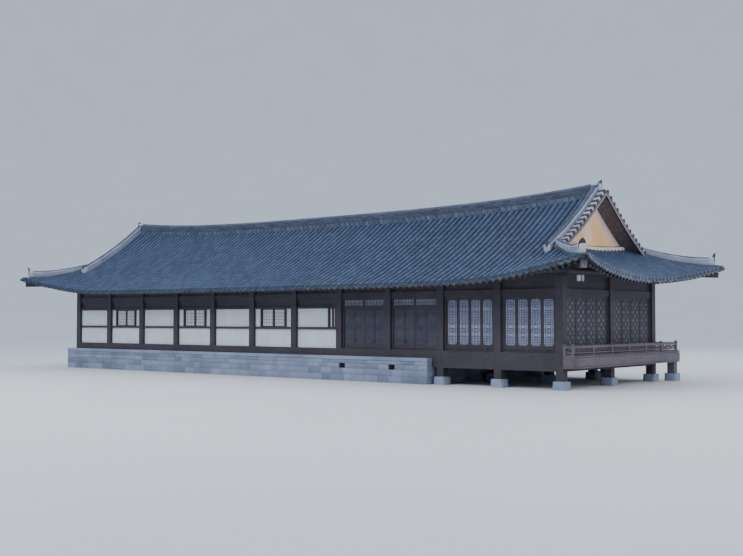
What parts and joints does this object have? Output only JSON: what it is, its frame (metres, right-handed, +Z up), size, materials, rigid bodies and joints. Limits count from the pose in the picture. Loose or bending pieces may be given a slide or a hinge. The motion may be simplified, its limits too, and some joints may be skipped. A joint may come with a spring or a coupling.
{
  "type": "hanok hall",
  "caption": "Long timber hall with plastered bays, four-leaf doors, a raised latticed pavilion with a railed balcony at one end, and a curved hip-and-gable tile roof.",
  "frame": {"origin": "on the ground under the middle of the roof, which is also the middle of the column plan", "axes": "+X along the front toward the raised pavilion end, +Y from the front to the back, +Z up"},
  "size_m": [33.1926, 11.7126, 7.8306],
  "materials": {
    "base_stone": "rough dressed granite",
    "dark_timber": "dark brown stained timber",
    "lattice_timber": "dark brown fine timber",
    "balcony_timber": "weathered brown timber",
    "floor_board": "oiled floor boards",
    "plaster": "matt lime plaster",
    "gable_plaster": "warm matt plaster",
    "roof_tile": "dark blue-grey fired clay",
    "tile_mortar": "pale lime mortar",
    "window_paper": "matt window paper",
    "hinge_iron": "black forged iron",
    "lantern": "warm paper in a timber frame"
  },
  "bodies": {
    "hall": {"stone_base": "base_stone", "pavilion_underframe": "dark_timber", "hall_floor": "floor_board", "pavilion_floor": "floor_board", "balcony_deck": "balcony_timber", "balcony_railing": "balcony_timber", "front_frame_pavilion": "dark_timber", "front_frame_doors": "dark_timber", "front_frame_rooms": "dark_timber", "rear_frame": "dark_timber", "rear_window_bay_1": "lattice_timber", "rear_window_bay_2": "lattice_timber", "left_frame": "dark_timber", "right_frame": "dark_timber", "front_window_bay_1": "lattice_timber", "front_window_bay_2": "lattice_timber", "side_lattice_front": "lattice_timber", "side_lattice_rear": "lattice_timber", "front_wall": "plaster", "rear_wall": "plaster", "left_wall": "plaster", "door_case_bay_3": "dark_timber", "door_case_bay_4": "dark_timber", "wall_plate_front": "dark_timber", "wall_plate_rear": "dark_timber", "wall_plate_left": "dark_timber", "wall_plate_right": "dark_timber", "roof_front": "roof_tile", "roof_rear": "roof_tile", "roof_left": "roof_tile", "roof_right": "roof_tile", "hip_rafter_front_right": "dark_timber", "hip_rafter_rear_right": "dark_timber", "hip_rafter_front_left": "dark_timber", "hip_rafter_rear_left": "dark_timber", "gable_wall_right": "gable_plaster", "bargeboard_right": "dark_timber", "gable_wall_left": "gable_plaster", "bargeboard_left": "dark_timber", "roof_ridges": "roof_tile", "eave_lantern": "lantern"},
    "leaf_bay_3_left": {"door_leaf_bay_3_left": "dark_timber"},
    "leaf_bay_3_right": {"door_leaf_bay_3_right": "dark_timber"},
    "leaf_bay_4_left": {"door_leaf_bay_4_left": "dark_timber"},
    "leaf_bay_4_right": {"door_leaf_bay_4_right": "dark_timber"}
  },
  "joints": [
    {"name": "swing_bay_3_left", "type": "hinge", "parent": "hall", "child": "leaf_bay_3_left", "pos_m": [7.26515, -3.604, 2.1], "axis": [0, 0, -1], "range_deg": [0, 90]},
    {"name": "swing_bay_3_right", "type": "hinge", "parent": "hall", "child": "leaf_bay_3_right", "pos_m": [8.33485, -3.604, 2.1], "axis": [0, 0, 1], "range_deg": [0, 90]},
    {"name": "swing_bay_4_left", "type": "hinge", "parent": "hall", "child": "leaf_bay_4_left", "pos_m": [4.66515, -3.604, 2.1], "axis": [0, 0, -1], "range_deg": [0, 90]},
    {"name": "swing_bay_4_right", "type": "hinge", "parent": "hall", "child": "leaf_bay_4_right", "pos_m": [5.73485, -3.604, 2.1], "axis": [0, 0, 1], "range_deg": [0, 90]}
  ]
}
